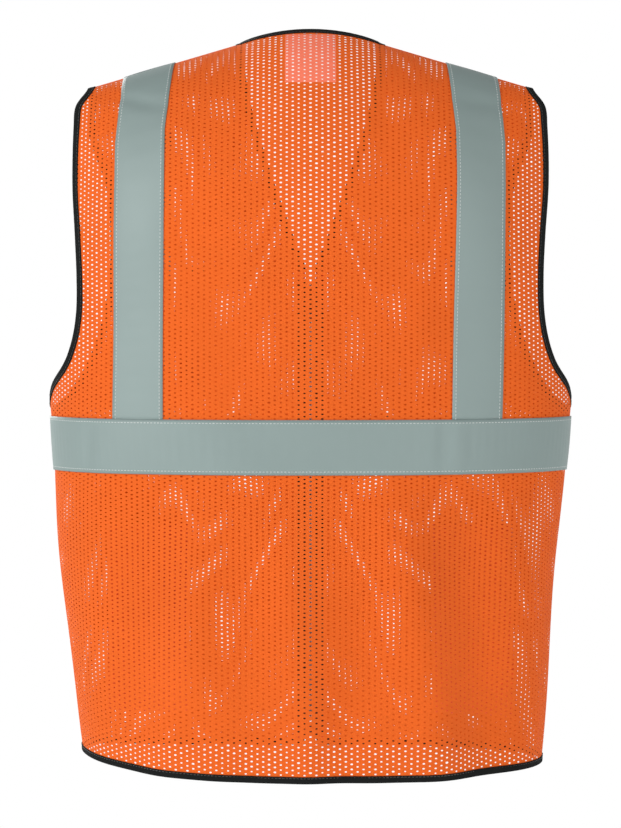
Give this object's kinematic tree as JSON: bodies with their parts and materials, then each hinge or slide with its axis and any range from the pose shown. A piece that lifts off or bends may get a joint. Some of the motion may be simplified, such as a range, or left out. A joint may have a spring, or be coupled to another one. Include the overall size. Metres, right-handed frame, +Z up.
{
  "type": "high visibility vest",
  "caption": "Sleeveless high visibility vest of orange mesh with silver reflective tapes, dark edge binding, a V neck and a front zip.",
  "frame": {"origin": "midway between the two neck points, where the shoulder seams meet the neck edge and the vest hangs from the wearer", "axes": "+Z up, -Y the way the wearer faces, +X the wearer's left"},
  "size_m": [0.5034, 0.2515, 0.7005],
  "materials": {
    "mesh_cloth": "open knitted polyester mesh",
    "pocket_cloth": "close knitted polyester",
    "reflective_tape": "satin glass-bead tape",
    "binding": "woven polyester band",
    "label": "satin woven",
    "zip_tape": "woven",
    "zip_coil": "nylon",
    "zip_plastic": "moulded",
    "zip_metal": "black enamel"
  },
  "bodies": {
    "root": {"back_panel": "mesh_cloth", "front_panel_left": "mesh_cloth", "front_panel_right": "mesh_cloth", "shoulder_tape_left": "reflective_tape", "shoulder_tape_right": "reflective_tape", "waist_tape_back": "reflective_tape", "waist_tape_side_left": "reflective_tape", "waist_tape_side_right": "reflective_tape", "neck_binding_back": "binding", "armhole_binding_left": "binding", "armhole_binding_right": "binding", "hem_binding_back": "binding", "hem_binding_side_left": "binding", "hem_binding_side_right": "binding", "chest_pocket": "pocket_cloth", "lower_pocket_left": "pocket_cloth", "lower_pocket_right": "pocket_cloth", "neck_label": "label"},
    "front_edge_left": {"front_edge_left": "mesh_cloth", "waist_tape_edge_left": "reflective_tape", "neck_binding_left": "binding", "hem_binding_edge_left": "binding", "zipper_tape_left": "zip_tape", "zipper_coil_left": "zip_coil", "zipper_top_stop_left": "zip_metal", "zipper_insertion_pin": "zip_plastic"},
    "front_edge_right": {"front_edge_right": "mesh_cloth", "waist_tape_edge_right": "reflective_tape", "neck_binding_right": "binding", "hem_binding_edge_right": "binding", "zipper_tape_right": "zip_tape", "zipper_coil_right": "zip_coil", "zipper_top_stop_right": "zip_metal", "zipper_retainer_box": "zip_plastic"},
    "zipper_slider": {"zipper_slider": "zip_metal"},
    "pull_tab": {"pull_tab": "zip_metal"}
  },
  "joints": [
    {"name": "front_edge_left_fold", "type": "hinge", "parent": "root", "child": "front_edge_left", "pos_m": [0.09989, -0.1093, -0.38], "axis": [-0.0653, -0.0257, 0.9975], "range_deg": [0, 140]},
    {"name": "front_edge_right_fold", "type": "hinge", "parent": "root", "child": "front_edge_right", "pos_m": [-0.09989, -0.1093, -0.38], "axis": [-0.0653, 0.0257, -0.9975], "range_deg": [0, 140]},
    {"name": "zipper_slide", "type": "slide", "parent": "front_edge_right", "child": "zipper_slider", "axis": [0, 0, -1], "range_m": [0, 0.4245]},
    {"name": "pull_tab_pivot", "type": "hinge", "parent": "zipper_slider", "child": "pull_tab", "pos_m": [0, -0.1176, -0.2342], "axis": [-1, 0, 0], "range_deg": [0, 150]}
  ]
}
